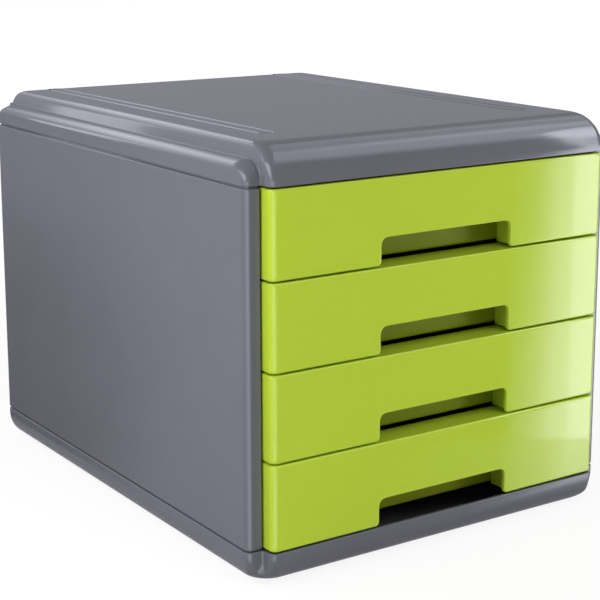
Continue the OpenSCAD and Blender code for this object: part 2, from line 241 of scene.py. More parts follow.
# The surface that a polished or spark-eroded mould leaves on plastic: a fine grain, slow waves from
# uneven cooling, and faint clouds in the colour and in the gloss.
moulded, given, made = effect(
    "moulded_surface",
    [("Colour", "NodeSocketColor", (0.5, 0.5, 0.5, 1)),
     ("Clouding", "NodeSocketFloat", 0.05),
     ("Roughness", "NodeSocketFloat", 0.3),
     ("Gloss Spread", "NodeSocketFloat", 0.05),
     ("Grain Size", "NodeSocketFloat", 0.0004),
     ("Grain Depth", "NodeSocketFloat", 0.5),
     ("Wave Size", "NodeSocketFloat", 0.03),
     ("Wave Depth", "NodeSocketFloat", 0.5)],
    [("Colour", "NodeSocketColor"), ("Roughness", "NodeSocketFloat"), ("Height", "NodeSocketFloat")])
place = add(moulded, "ShaderNodeTexCoord", {}).outputs["Object"]
cloud = add(moulded, "ShaderNodeTexNoise",
            {"Vector": place, "Scale": 28.0, "Detail": 3.0, "Roughness": 0.55})
streak = add(moulded, "ShaderNodeTexNoise", {"Vector": place, "Scale": 160.0, "Detail": 2.0})
grain_scale = add(moulded, "ShaderNodeMath", {0: 1.0, 1: given.outputs["Grain Size"]}, operation="DIVIDE")
grain = add(moulded, "ShaderNodeTexNoise",
            {"Vector": place, "Scale": grain_scale.outputs[0], "Detail": 2.0})
wave_scale = add(moulded, "ShaderNodeMath", {0: 1.0, 1: given.outputs["Wave Size"]}, operation="DIVIDE")
wave = add(moulded, "ShaderNodeTexNoise",
           {"Vector": place, "Scale": wave_scale.outputs[0], "Detail": 0.0})
shift = add(moulded, "ShaderNodeMath", {0: cloud.outputs[0], 1: 0.5}, operation="SUBTRACT")
level = add(moulded, "ShaderNodeMath", {0: shift.outputs[0], 1: given.outputs["Clouding"], 2: 1.0},
            operation="MULTIPLY_ADD")
shade = add(moulded, "ShaderNodeVectorMath", {0: given.outputs["Colour"], "Scale": level.outputs[0]},
            operation="SCALE")
rub = add(moulded, "ShaderNodeMath", {0: streak.outputs[0], 1: 0.5}, operation="SUBTRACT")
rough = add(moulded, "ShaderNodeMath",
            {0: rub.outputs[0], 1: given.outputs["Gloss Spread"], 2: given.outputs["Roughness"]},
            operation="MULTIPLY_ADD")
fine = add(moulded, "ShaderNodeMath", {0: grain.outputs[0], 1: given.outputs["Grain Depth"]},
           operation="MULTIPLY")
height = add(moulded, "ShaderNodeMath",
             {0: wave.outputs[0], 1: given.outputs["Wave Depth"], 2: fine.outputs[0]},
             operation="MULTIPLY_ADD")
moulded.links.new(shade.outputs[0], made.inputs["Colour"])
moulded.links.new(rough.outputs[0], made.inputs["Roughness"])
moulded.links.new(height.outputs[0], made.inputs["Height"])

# Edges that hands, sleeves and cloths rub: a mask that is 1 along an edge and 0 on a flat face,
# broken up a little, as handling never reaches every spot.
rubbed, given, made = effect(
    "rubbed_edges",
    [("Width", "NodeSocketFloat", 0.001), ("Amount", "NodeSocketFloat", 0.5)],
    [("Mask", "NodeSocketFloat")])
soft = add(rubbed, "ShaderNodeBevel", {"Radius": given.outputs["Width"]}, samples=4)
facing = add(rubbed, "ShaderNodeNewGeometry", {})
match = add(rubbed, "ShaderNodeVectorMath", {0: soft.outputs[0], 1: facing.outputs["Normal"]},
            operation="DOT_PRODUCT")
edge = add(rubbed, "ShaderNodeMapRange",
           {"Value": match.outputs["Value"], "From Min": 0.995, "From Max": 0.85})
spots = add(rubbed, "ShaderNodeTexNoise",
            {"Vector": add(rubbed, "ShaderNodeTexCoord", {}).outputs["Object"], "Scale": 220.0})
broken = add(rubbed, "ShaderNodeMath", {0: edge.outputs[0], 1: spots.outputs[0]}, operation="MULTIPLY")
mask = add(rubbed, "ShaderNodeMath", {0: broken.outputs[0], 1: given.outputs["Amount"]},
           operation="MULTIPLY", use_clamp=True)
rubbed.links.new(mask.outputs[0], made.inputs["Mask"])


def use(tree, group, **inputs):
    """Places a node group in a material, with its own values; _ in a name stands for a space."""
    node = tree.nodes.new("ShaderNodeGroup")
    node.node_tree = group
    for name, value in inputs.items():
        node.inputs[name.replace("_", " ")].default_value = value
    return node


def plastic(name, colour, rub_colour, surface, rub, bump_distance, **shader):
    """A moulded plastic: its surface and rubbed edges feed a Principled shader."""
    material = bpy.data.materials.new(name)
    material.use_nodes = True
    tree = material.node_tree
    tree.nodes.clear()
    skin = use(tree, moulded, Colour=(*colour, 1), **surface)
    worn = use(tree, rubbed, **rub)
    blend = add(tree, "ShaderNodeMixRGB",
                {"Fac": worn.outputs["Mask"], "Color1": skin.outputs["Colour"],
                 "Color2": (*rub_colour, 1)})
    bump = add(tree, "ShaderNodeBump",
               {"Height": skin.outputs["Height"], "Distance": bump_distance, "Strength": 1.0})
    body = add(tree, "ShaderNodeBsdfPrincipled",
               {"Base Color": blend.outputs[0], "Roughness": skin.outputs["Roughness"],
                "Normal": bump.outputs[0], **shader})
    out = tree.nodes.new("ShaderNodeOutputMaterial")
    tree.links.new(body.outputs[0], out.inputs["Surface"])
    return material


housing_plastic = plastic(
    "housing_plastic", colour=(0.120, 0.120, 0.143), rub_colour=(0.20, 0.20, 0.23),
    surface=dict(Clouding=0.10, Roughness=0.08, Gloss_Spread=0.05, Grain_Size=0.0006, Grain_Depth=0.05,
                 Wave_Size=0.05, Wave_Depth=1.0),
    rub=dict(Width=0.0012, Amount=0.30), bump_distance=0.00004)


def both_sides(right):
    """An outline's corners on both sides, from those on its right side."""
    return right + [(-x, y, radius) for x, y, radius in reversed(right)]


def stepped(z, side, front, rear, band_side, band_edge, corner, cove, merged):
    """The base's outline at a height: stepped in front, or merged into a plain rounded one."""
    outline = rounded(both_sides([(side, rear, corner), (side, front, corner), (band_side, front, cove),
                                  (band_side, band_edge, corner)]))
    plain = both_sides([(side, rear, corner), (side, band_edge, merged_corner)])
    each = len(outline) // 8
    few = rounded(plain, each - 1)
    many = rounded(plain, 3 * each - 1)
    smooth = few[:each] + many[3 * each:9 * each] + few[3 * each:]
    return [Vector((*near.lerp(far, merged), z)) for near, far in zip(outline, smooth)]


def eased(value, start, end):
    """0 up to the start, 1 from the end on, and a smooth rise between them."""
    share = min(max((value - start) / (end - start), 0.0), 1.0)
    return share * share * (3 - 2 * share)


def base_ring(z, thickness, rim_in=0.0):
    """The base's outer side at thickness 0, or its inner side at the wall's thickness."""
    depth = z - base_low.z - (base_floor if thickness else 0.0)
    hem = thickness + rim_in
    side_in = drawn_in(base_reach - thickness, depth, base_tall - thickness) + hem
    front_in = drawn_in(base_band_reach - thickness, depth, base_band_tall - thickness) + hem
    rear_in = drawn_in(max(rear_round - thickness, rim_round), depth) + hem
    corner = max(upright_round - thickness, smallest_corner) + base_corner_growth * (side_in - hem)
    merged = eased((rim_z - z) / (rim_z - base_low.z), step_fades_from, step_gone_at)
    cove = cove_at_rim + (cove_below - cove_at_rim) * merged
    return stepped(z, case_x - side_in, case_front + hem, case_rear - rear_in, band_x - hem,
                   band_front + front_in, corner, cove, merged)


inner_floor = base_low.z + base_floor
rim_z = base_high.z
rings = [base_ring(inner_floor + depth, wall) for depth in sorted(arc_depths(base_band_tall - wall, 12))]
rings += [base_ring(rim_z - down, wall, -across) for down, across in quarter_turn(rim_round)]
rings += [base_ring(rim_z - down, 0.0, across) for down, across in reversed(quarter_turn(rim_round))]
rings += [base_ring(z, 0.0) for z in levels_up(rim_z - rim_round, base_low.z + base_band_tall, 4)]
rings += [base_ring(base_low.z + depth, 0.0) for depth in arc_depths(base_band_tall, 24)]
base = moulding("base_shell", rings)

tools = []
for foot in feet:
    low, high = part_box(foot)
    middle = Vector(((low.x + high.x) / 2, (low.y + high.y) / 2, 0))
    radius = (high.x - low.x) / 2 + foot_pocket_gap
    mouth = radius + foot_pocket_bevel
    tools.append(turned("pocket", middle, [(mouth, 0.0), (mouth, base_low.z),
                                           (radius, base_low.z + foot_pocket_bevel), (radius, high.z)]))
head_top = screws_low.z + screw_head_height
mouth = screw_head_hole + screw_way_bevel
for x in (screws_low.x + screw_head_radius, screws_high.x - screw_head_radius):
    for y in (screws_low.y + screw_head_radius, screws_high.y - screw_head_radius):
        tools.append(turned("screw_way", Vector((x, y, 0)), [
            (mouth, 0.0), (mouth, base_low.z), (screw_head_hole, base_low.z + screw_way_bevel),
            (screw_head_hole, head_top), (screw_hole, head_top + hair),
            (screw_hole, inner_floor + cut_past)]))
combine(base, "DIFFERENCE", tools)
polish(base, housing_plastic)
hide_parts("base")
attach(base, "cabinet")

# ---- Feet and screws ----
# Each foot is a black rubber pad, punched from sheet with a softened lower edge and glued into its
# pocket. The screws are zinc-plated pan heads with a cross recess, from a standard range.
rubber = plastic(
    "foot_rubber", colour=(0.018, 0.018, 0.019), rub_colour=(0.05, 0.05, 0.05),
    surface=dict(Clouding=0.35, Roughness=0.82, Gloss_Spread=0.15, Grain_Size=0.0007, Grain_Depth=1.0,
                 Wave_Size=0.01, Wave_Depth=0.4),
    rub=dict(Width=0.0008, Amount=0.6), bump_distance=0.00012)
zinc = plastic(
    "zinc_plate", colour=(0.56, 0.57, 0.60), rub_colour=(0.72, 0.72, 0.73),
    surface=dict(Clouding=0.30, Roughness=0.34, Gloss_Spread=0.25, Grain_Size=0.0003, Grain_Depth=0.4,
                 Wave_Size=0.003, Wave_Depth=0.3),
    rub=dict(Width=0.0003, Amount=0.5), bump_distance=0.00002, Metallic=1.0)


def finish_node(node, material):
    """Gives a carried-over node its material."""
    for place_of_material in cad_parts[node].material_slots:
        place_of_material.material = material


for foot in feet:
    finish_node(foot, rubber)
finish_node("case_screws", zinc)

# ---- Runner frames ----
# A frame inside each side panel carries the drawers: a plate with a ledge and a guide for each
# drawer and ribs behind it, moulded in darker, unpolished ABS, because it is out of sight.
frame_plastic = plastic(
    "runner_frame_plastic", colour=(0.085, 0.085, 0.092), rub_colour=(0.15, 0.15, 0.16),
    surface=dict(Clouding=0.20, Roughness=0.55, Gloss_Spread=0.12, Grain_Size=0.0006, Grain_Depth=0.8,
                 Wave_Size=0.02, Wave_Depth=0.4),
    rub=dict(Width=0.0008, Amount=0.5), bump_distance=0.00005)
for node in ("left_runner_frame", "right_runner_frame"):
    finish_node(node, frame_plastic)

# ---- Back panel ----
# The back is a flat sheet that slips in behind the side panels' rear lips and is held by the base
# and the cover. A shallow field is pressed into it, with soft edges, so that it stays flat.
back_low, back_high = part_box("back_panel")
cover_low, cover_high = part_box("top_cover")
tongue_drop = 0.012
cover_rim = cover_low.z + tongue_drop
back_edge = 0.0003
back_corner = 0.001
field_inset = 0.014
field_depth = 0.0008
field_slope = 0.0010
field_round = 0.008


def back_ring(y, x, low_z, high_z, radius):
    """The back sheet's outline at a depth, seen from behind."""
    corners = [(x, low_z, radius), (x, high_z, radius), (-x, high_z, radius), (-x, low_z, radius)]
    return [Vector((point.x, y, point.y)) for point in rounded(corners)]


field_x = band_x - field_inset
field_low = rim_z + field_inset
field_high = cover_rim - field_inset
rings = [back_ring(y, back_high.x - edge, back_low.z + edge, back_high.z - edge, back_corner)
         for y, edge in ((back_low.y, back_edge), (back_low.y + back_edge, 0.0),
                         (back_high.y - back_edge, 0.0), (back_high.y, back_edge))]
for share in (0.0, 0.06, 0.25, 0.75, 0.94, 1.0):
    drop = (1 - math.cos(math.pi * share)) / 2 * field_depth
    inward = field_slope * share
    rings.append(back_ring(back_high.y - drop, field_x - inward, field_low + inward, field_high - inward,
                           field_round - inward))
back = moulding("back_sheet", rings)
polish(back, housing_plastic)
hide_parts("back_panel")
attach(back, "cabinet")

# ---- Side panels ----
# Each side is a flat moulded panel whose front and back edges turn in, with a lip at the front that
# hides the runner frame. Its ends step back a little, which leaves the fine shadow gaps under the
# cover and over the base.
gap_height = 0.0014
gap_depth = 0.0022
lip_length = 0.012
lip_thickness = 0.002
panel_edge = 0.0007
panel_inner_round = 0.002
fine_round = 0.0005


def panel_ring(z, drawn):
    """The right-hand panel cut level at z, with its outer faces drawn in."""
    outer = case_x - drawn
    front = case_front + drawn
    rear = case_rear - drawn
    lip_x = panel_low.x
    inner = case_x - wall
    inner_front = case_front + wall
    inner_rear = case_rear - wall
    lip_end = case_front + lip_length
    corner = upright_round - drawn
    corners = [(lip_x, front, fine_round), (outer, front, corner), (outer, rear, corner),
               (lip_x, rear, fine_round), (lip_x, inner_rear, fine_round),
               (inner, inner_rear, panel_inner_round), (inner, inner_front, panel_inner_round),
               (lip_x + lip_thickness, inner_front, fine_round),
               (lip_x + lip_thickness, lip_end, fine_round), (lip_x, lip_end, fine_round)]
    return [Vector((*point, z)) for point in rounded(corners)]


steps_up = [(0.0, gap_depth), (gap_height, gap_depth)]
steps_up += [(gap_height + up, drawn) for up, drawn in reversed(quarter_turn(panel_edge, 5))]
rings = [panel_ring(panel_low.z + up, drawn) for up, drawn in steps_up]
rings += [panel_ring(panel_high.z - up, drawn) for up, drawn in reversed(steps_up)]
mirror_x = Matrix.Scale(-1, 4, (1, 0, 0))
for side in ("right", "left"):
    panel = moulding(side + "_panel_shell", rings)
    if side == "left":
        panel.data.transform(mirror_x)
        panel.data.flip_normals()
    polish(panel, housing_plastic)
    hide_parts(side + "_side_panel")
    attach(panel, "cabinet")

# ---- Top cover ----
# The cover is moulded in one piece: a raised band that runs back over the drawers and rounds down to
# them in front, with a low shoulder along each side. Two narrow grooves in long loops take the feet
# of a second cabinet. Tongues under it snap inside the side panels.
cover_top = cover_high.z
shoulder_height = 0.0145
shoulder_round = 0.0095
shoulder_tall = 0.0055
shoulder_end_round = 0.0127
shoulder_front_growth = 0.9
shoulder_rear_growth = 0.8
band_slope = math.radians(14)
band_round = 0.0060
band_rear_round = 0.016
nose_round = 0.024
nose_growth = 0.2
ledge_fillet = 0.0003
cover_edge = 0.0007
least_step = 0.0004
groove_x = 0.1036
groove_loop = 0.0103
groove_front = 0.050
groove_rear = 0.014
groove_half = 0.0013
groove_bed = 0.0004
groove_depth = 0.0007
groove_soft_width = 0.0002
groove_soft_depth = 0.00008


def band_drawn_in(depth):
    """How far the band's sloping side stands in, at a depth below the top: rounded, then straight."""
    rise = cover_top - cover_rim - shoulder_height
    arc_depth = band_round * (1 - math.sin(band_slope))
    centre_in = (rise - arc_depth) * math.tan(band_slope) + band_round * math.cos(band_slope)
    if depth < arc_depth:
        return centre_in - band_round + drawn_in(band_round, depth)
    return max(rise - depth, 0.0) * math.tan(band_slope)


def cover_ring(z, thickness, rim_in=0.0, ledge_in=None):
    """The cover cut level at z, on its outer side, or at the wall's thickness on its inner side."""
    shoulder_depth = max(cover_rim + shoulder_height - thickness - z, 0.0)
    band_depth = cover_top - thickness - z
    shoulder_in = drawn_in(shoulder_round - thickness, shoulder_depth, shoulder_tall - thickness)
    shoulder_end_in = drawn_in(shoulder_end_round - thickness, shoulder_depth)
    nose_in = drawn_in(nose_round - thickness, band_depth)
    hem = thickness + rim_in
    band_side = band_x - hem - band_drawn_in(band_depth)
    side = case_x - hem - shoulder_in
    front = case_front + hem + shoulder_end_in
    side_rear = case_rear - hem - shoulder_end_in
    nose = band_front + hem + nose_in
    band_rear = case_rear - hem - drawn_in(band_rear_round - thickness, band_depth)
    corner = max(upright_round - thickness, smallest_corner)
    rear_corner = 0.0
    if ledge_in is not None:
        side = band_side + ledge_in
        rear_corner = corner if ledge_in == 0.0 else 0.0
        side_rear = min(side_rear, band_rear - rear_corner)
        front = max(front, nose + corner + nose_growth * nose_in)
    right = [(band_side, band_rear, rear_corner), (band_side, side_rear, 0.0),
             (side, side_rear, corner + shoulder_rear_growth * shoulder_end_in),
             (side, front, corner + shoulder_front_growth * shoulder_end_in),
             (band_side, front, cove_at_rim / 2), (band_side, nose, corner + nose_growth * nose_in)]
    return [Vector((*point, z)) for point in rounded(both_sides(right))]


def cover_side(thickness):
    """Heights and ledge widths up one side of the cover's wall, from just over the rim to the top."""
    ledge_z = cover_rim + shoulder_height - thickness
    rows = [(ledge_z - depth, None) for depth in arc_depths(shoulder_end_round - thickness, 20)]
    rows += [(ledge_z + up, ledge_in) for up, ledge_in in reversed(quarter_turn(ledge_fillet))]
    start = ledge_z + ledge_fillet
    top = cover_top - thickness
    depths = [d for d in arc_depths(nose_round - thickness, 16) + arc_depths(band_round - thickness, 8)
              if top - d > start + least_step]
    rows += [(top - depth, 0.0) for depth in sorted(set(depths), reverse=True)]
    return rows


rings = [cover_ring(z, wall, 0.0, ledge) for z, ledge in reversed(cover_side(wall))]
rings += [cover_ring(cover_rim + up, wall, -across) for up, across in quarter_turn(cover_edge)]
rings += [cover_ring(cover_rim + up, 0.0, across) for up, across in reversed(quarter_turn(cover_edge))]
rings += [cover_ring(z, 0.0, 0.0, ledge) for z, ledge in cover_side(0.0)]


def loop_points(x, radius, z, steps=14):
    """A long loop with round ends, seen from above."""
    front_end = band_front + groove_front + groove_loop / 2
    rear_end = case_rear - groove_rear - groove_loop / 2
    points = []
    for y, start in ((front_end, math.pi), (rear_end, 0.0)):
        for i in range(steps + 1):
            turn = start + math.pi * i / steps
            points.append(Vector((x + radius * math.cos(turn), y + radius * math.sin(turn), z)))
    return points


shell = bmesh.new()
shell.faces.new(walls(shell, rings)[0])
join_points(shell)
border = [e for e in shell.edges if e.is_boundary]
flank = [(groove_half, 0.0), (groove_half - groove_soft_width, -groove_soft_depth),
         (groove_bed, -groove_depth + groove_soft_depth), (groove_bed - groove_soft_width, -groove_depth)]
section = flank + [(-across, down) for across, down in reversed(flank)]
for side in (-1, 1):
    loops = walls(shell, [loop_points(side * groove_x, groove_loop / 2 + across, cover_top + down)
                          for across, down in section])
    shell.faces.new(loops[-1])
    border += [shell.edges.get((loops[0][i - 1], loops[0][i])) for i in range(len(loops[0]))]
bmesh.ops.triangle_fill(shell, use_beauty=True, use_dissolve=False, edges=border)
cover = solid("cover_shell", shell)


def oblong(low, high, radius, steps):
    """A four-sided outline between two opposite corners, with its corners rounded."""
    return rounded([(low[0], low[1], radius), (high[0], low[1], radius),
                    (high[0], high[1], radius), (low[0], high[1], radius)], steps)


def block(name, xs, ys, zs, radius):
    """A small rib or tongue with softened upright edges, from its reach along each axis."""
    low_x, high_x = sorted(xs)
    outline = oblong((low_x, ys[0]), (high_x, ys[1]), radius, 3)
    return moulding(name, [[Vector((*point, z)) for point in outline] for z in zs])


tongue_play = 0.0003
tongue_x = case_x - wall - tongue_play
tongue_half = 0.009
tongue_thickness = 0.002
tongue_spacing = (case_rear - case_front) / 3.2
rib_thickness = 0.0022
rib_corner = 0.0004
joint_overlap = 0.001
middle_y = (case_front + case_rear) / 2
frame_low, frame_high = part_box("right_runner_frame")
shoulder_underside = cover_rim + shoulder_height - wall
tools = []
for side in (-1, 1):
    for step in (-1, 0, 1):
        y = middle_y + step * tongue_spacing
        tools.append(block("tongue", (side * tongue_x, side * (tongue_x - tongue_thickness)),
                           (y - tongue_half, y + tongue_half),
                           (cover_low.z, shoulder_underside - joint_overlap), rib_corner))
    tools.append(block("frame_rib", (side * band_x, side * (band_x - rib_thickness)),
                       (frame_low.y, frame_high.y),
                       (frame_high.z, shoulder_underside + joint_overlap), rib_corner))
combine(cover, "UNION", tools)
polish(cover, housing_plastic)
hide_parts("top_cover")
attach(cover, "cabinet")

# ---- Drawer trays ----
# Each drawer is a tray moulded in lime-green polystyrene, with a flange along each side that runs
# on the frame's ledge. Its front wall is the wall behind the handle notch; the tray is coloured a darker
# green than the fronts, as painted shade for the notch. A lug near the end of each flange stops the
# drawer.
tray_low, tray_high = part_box("drawer_1_tray")
clip_end = face_high.y
tray_wall = 0.002
tray_corner = 0.008
tray_fillet = 0.003
tray_outer_fillet = 0.0025
tray_corner_growth = 0.3
front_wall_up = 0.006
front_wall_edge = 0.0006
front_fillet = 0.0008
flange_width = 0.005
flange_up = 0.037
flange_thickness = 0.002
flange_corner = 0.001
lug_corner = 0.0005
lug_height = 0.004
lug_length = 0.003
lug_width = 0.002
clip_x = 0.096
clip_half = 0.007
clip_up = 0.0279
clip_thickness = 0.0022
clip_play = 0.0003
slot_corner = 0.0003
tray_x = tray_high.x - flange_width
rim_height = 0.0498

# The tray's green is darkened below the fronts' green: painted shade for the wall seen inside the handle
# notches.
tray_plastic_painted_shade = plastic(
    "tray_plastic_painted_shade", colour=(0.225, 0.275, 0.010), rub_colour=(0.42, 0.52, 0.12),
    surface=dict(Clouding=0.08, Roughness=0.34, Gloss_Spread=0.12, Grain_Size=0.0005, Grain_Depth=0.25,
                 Wave_Size=0.035, Wave_Depth=0.8),
    rub=dict(Width=0.0008, Amount=0.4), bump_distance=0.00005, **{"Specular IOR Level": 0.12})


def tray_ring(z, drawn, inner=0.0):
    """The tray's wall cut level at z, at a distance in from its outer side."""
    rear = tray_high.y - drawn
    front = tray_low.y + drawn
    corner = max(tray_corner - inner - tray_corner_growth * (drawn - inner), smallest_corner)
    right = [(tray_x - drawn, front, front_fillet + drawn / 2), (tray_x - drawn, rear, corner)]
    return [Vector((*point, z)) for point in rounded(both_sides(right))]


rim_top = tray_low.z + rim_height
rings = [tray_ring(tray_low.z + tray_wall + depth, tray_wall + drawn_in(tray_fillet, depth), tray_wall)
         for depth in reversed(arc_depths(tray_fillet, 6))]
lip = tray_wall / 2
for i in range(7):
    turn = math.pi * i / 6
    rings.append(tray_ring(rim_top - lip + lip * math.sin(turn), lip + lip * math.cos(turn)))
rings += [tray_ring(tray_low.z + depth, drawn_in(tray_outer_fillet, depth))
          for depth in arc_depths(tray_outer_fillet, 6)]
tray = moulding("tray", rings)


def plank(name, xs, ys, zs, radius):
    """A bar along X, whose section across it is softened."""
    outline = oblong((ys[0], zs[0]), (ys[1], zs[1]), radius, 4)
    return moulding(name, [[Vector((x, *point)) for point in outline] for x in xs])


additions = [plank("front_wall", (-tray_x, tray_x), (tray_low.y, tray_low.y + tray_wall),
                   (tray_low.z + front_wall_up, tray_high.z), front_wall_edge)]
flange_z = tray_low.z + flange_up
flange_end = tray_high.y - tray_corner
flange_top = flange_z + flange_thickness
for side in (-1, 1):
    additions.append(block("flange", (side * (tray_x - joint_overlap), side * tray_high.x),
                           (tray_low.y + tray_wall, flange_end), (flange_z, flange_top), flange_corner))
    additions.append(block("lug", (side * (tray_high.x - lug_width), side * tray_high.x),
                           (flange_end - lug_length, flange_end),
                           (flange_z + joint_overlap, flange_top + lug_height), lug_corner))
combine(tray, "UNION", additions)
slots = []
slot_z = face_low.z + clip_up
for x in (-clip_x, clip_x):
    slots.append(plank("slot", (x - clip_half - clip_play, x + clip_half + clip_play),
                       (tray_low.y - cut_past / 2, tray_low.y + tray_wall + cut_past / 2),
                       (slot_z - clip_play, slot_z + clip_thickness + clip_play), slot_corner))
combine(tray, "DIFFERENCE", slots)
drawer_pitch = tray_low.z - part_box("drawer_2_tray")[0].z


def copy_for_drawer(pattern, name, number):
    """A copy of a top drawer's piece, lowered to the drawer of that number."""
    piece = bpy.data.objects.new(name, pattern.data.copy())
    bpy.context.scene.collection.objects.link(piece)
    piece.data.transform(Matrix.Translation((0, 0, -drawer_pitch * (number - 1))))
    return piece


for number in (1, 2, 3, 4):
    piece = copy_for_drawer(tray, "tray_shell_%d" % number, number)
    polish(piece, tray_plastic_painted_shade)
    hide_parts("drawer_%d_tray" % number)
    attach(piece, "drawer_%d" % number)
bpy.data.objects.remove(tray)

# ---- Drawer fronts ----
# Each front is a hollow high-gloss moulding, open at the back, that clips to its tray. Its upright
# edges are well rounded, its other edges slightly, and a notch in the lower edge takes the fingers.
front_skin = 0.0028
front_end = tray_low.y
front_edge_round = 0.0016
front_side_round = 0.005
front_corner = 0.0012
front_corner_growth = 0.4
front_gap = 0.0006
notch_half = 0.05275
notch_height = 0.018
notch_corner = 0.005
notch_flare = 0.0025
notch_edge = 0.0008
pocket_half = 0.05825
pocket_rib = 0.002
pocket_corner = 0.001
hook_nose = 0.0006
hook_back = 0.0002
hook_height = 0.0012
hook_top = 0.0012

front_plastic = plastic(
    "front_plastic", colour=(0.425, 0.56, 0.030), rub_colour=(0.60, 0.72, 0.18),
    surface=dict(Clouding=0.03, Roughness=0.045, Gloss_Spread=0.02, Grain_Size=0.0008, Grain_Depth=0.02,
                 Wave_Size=0.06, Wave_Depth=1.0),
    rub=dict(Width=0.0010, Amount=0.25), bump_distance=0.00003)


def front_ring(y, side_in, edge_in, notch_out):
    """A front's outline seen from ahead, with its edges drawn in and its notch widened."""
    side = band_x - front_gap - side_in
    low = face_low.z + edge_in
    high = face_high.z - edge_in
    notch = notch_half + notch_out
    roof = face_low.z + notch_height + notch_out
    corner = front_corner + front_corner_growth * side_in
    corners = [(-notch, low, notch_flare), (-notch, roof, notch_corner + notch_out),
               (notch, roof, notch_corner + notch_out), (notch, low, notch_flare),
               (side, low, corner), (side, high, corner), (-side, high, corner), (-side, low, corner)]
    return [Vector((point.x, y, point.y)) for point in rounded(corners, 7)]


depths = sorted(set(arc_depths(front_side_round, 9) + arc_depths(front_edge_round, 5)
                    + arc_depths(notch_edge, 4)))
rings = [front_ring(band_front + depth, drawn_in(front_side_round, depth),
                    drawn_in(front_edge_round, depth), drawn_in(notch_edge, depth)) for depth in depths]
rings.append(front_ring(front_end, 0.0, 0.0, 0.0))
face = moulding("front", rings)
cavities = []
inside_low = face_low.z + front_skin
inside_high = face_high.z - front_skin
for low_x, high_x, low_z in ((-band_x + front_skin, -pocket_half - pocket_rib, inside_low),
                             (-pocket_half, pocket_half, face_low.z - cut_past / 2),
                             (pocket_half + pocket_rib, band_x - front_skin, inside_low)):
    outline = oblong((low_x, low_z), (high_x, inside_high), pocket_corner, 3)
    ys = (band_front + front_skin, front_end + cut_past / 2)
    cavities.append(moulding("cavity", [[Vector((p.x, y, p.y)) for p in outline] for y in ys]))
combine(face, "DIFFERENCE", cavities)
clips = []
clip_start = band_front + front_skin - joint_overlap / 2
catch_y = front_end + tray_wall + clip_play
clip_low = face_low.z + clip_up
clip_high = clip_low + clip_thickness
hook = [(clip_start, clip_low), (clip_end - hook_nose, clip_low), (clip_end, clip_low + hook_nose),
        (clip_end - hook_back, clip_high), (clip_end - hook_top, clip_high + hook_height),
        (catch_y, clip_high + hook_height), (catch_y, clip_high), (clip_start, clip_high)]
for x in (-clip_x, clip_x):
    clips.append(moulding("clip", [[Vector((across, y, up)) for y, up in hook]
                                   for across in (x - clip_half, x + clip_half)]))
combine(face, "UNION", clips)
for number in (1, 2, 3, 4):
    piece = copy_for_drawer(face, "front_shell_%d" % number, number)
    polish(piece, front_plastic)
    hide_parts("drawer_%d_front" % number)
    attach(piece, "drawer_%d" % number)
bpy.data.objects.remove(face)

# ---- Studio ----
# A white floor under the cabinet, with lamps behind cloth at the left and right, in front and
# overhead. Grey cloth and bright screens stand all round, which only the gloss of the plastic sees.
# The camera stands at the front left.
ambient = 0.30
floor_half = 6.0
floor_white = 0.86
floor_shine = 1.03
white_from = 0.3
white_beyond = 0.9


def light_path_share(tree):
    """1 for what the camera sees, straight, mirrored or through something, and 0 for other light."""
    path = tree.nodes.new("ShaderNodeLightPath")
    seen = add(tree, "ShaderNodeMath",
               {0: path.outputs["Is Camera Ray"], 1: path.outputs["Is Glossy Ray"]}, operation="MAXIMUM")
    return add(tree, "ShaderNodeMath", {0: seen.outputs[0], 1: path.outputs["Is Transmission Ray"]},
               operation="MAXIMUM").outputs[0]


def plain_nodes(owner):
    """Turns on an empty node tree and returns it."""
    owner.use_nodes = True
    owner.node_tree.nodes.clear()
    return owner.node_tree


world = bpy.data.worlds.new("white_room")
bpy.context.scene.world = world
tree = plain_nodes(world)
glow = add(tree, "ShaderNodeMapRange", {"Value": light_path_share(tree), "To Min": ambient, "To Max": 1.0})
sky = add(tree, "ShaderNodeBackground", {"Color": (1, 1, 1, 1), "Strength": glow.outputs[0]})
tree.links.new(sky.outputs[0], tree.nodes.new("ShaderNodeOutputWorld").inputs["Surface"])

sheet = bmesh.new()
bmesh.ops.create_grid(sheet, x_segments=1, y_segments=1, size=floor_half)
floor = solid("floor", sheet)
paper = bpy.data.materials.new("floor_paper")
tree = plain_nodes(paper)
away = add(tree, "ShaderNodeVectorMath", {0: add(tree, "ShaderNodeTexCoord", {}).outputs["Object"]},
           operation="LENGTH")
far = add(tree, "ShaderNodeMapRange",
          {"Value": away.outputs["Value"], "From Min": white_from, "From Max": white_beyond,
           "To Min": floor_white, "To Max": 1.0}, interpolation_type="SMOOTHSTEP")
share = add(tree, "ShaderNodeMath", {0: light_path_share(tree), 1: far.outputs[0]}, operation="MULTIPLY")
matt = add(tree, "ShaderNodeBsdfDiffuse", {"Color": (0.80, 0.80, 0.80, 1)})
white = add(tree, "ShaderNodeEmission", {"Color": (1, 1, 1, 1), "Strength": floor_shine})
both = add(tree, "ShaderNodeMixShader", {0: share.outputs[0], 1: matt.outputs[0], 2: white.outputs[0]})
tree.links.new(both.outputs[0], tree.nodes.new("ShaderNodeOutputMaterial").inputs["Surface"])
floor.data.materials.append(paper)
floor.visible_glossy = False
floor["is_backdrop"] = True


def lamp_behind_cloth(name, place, target, size, power):
    """A soft square lamp at a place, turned to a target."""
    lamp = bpy.data.lights.new(name, "AREA")
    lamp.shape = "SQUARE"
    lamp.size = size
    lamp.energy = power
    stand = bpy.data.objects.new(name, lamp)
    stand.location = place
    stand.rotation_euler = (Vector(target) - Vector(place)).to_track_quat("-Z", "Y").to_euler()
    stand.visible_camera = False
    stand.visible_glossy = False
    bpy.context.scene.collection.objects.link(stand)


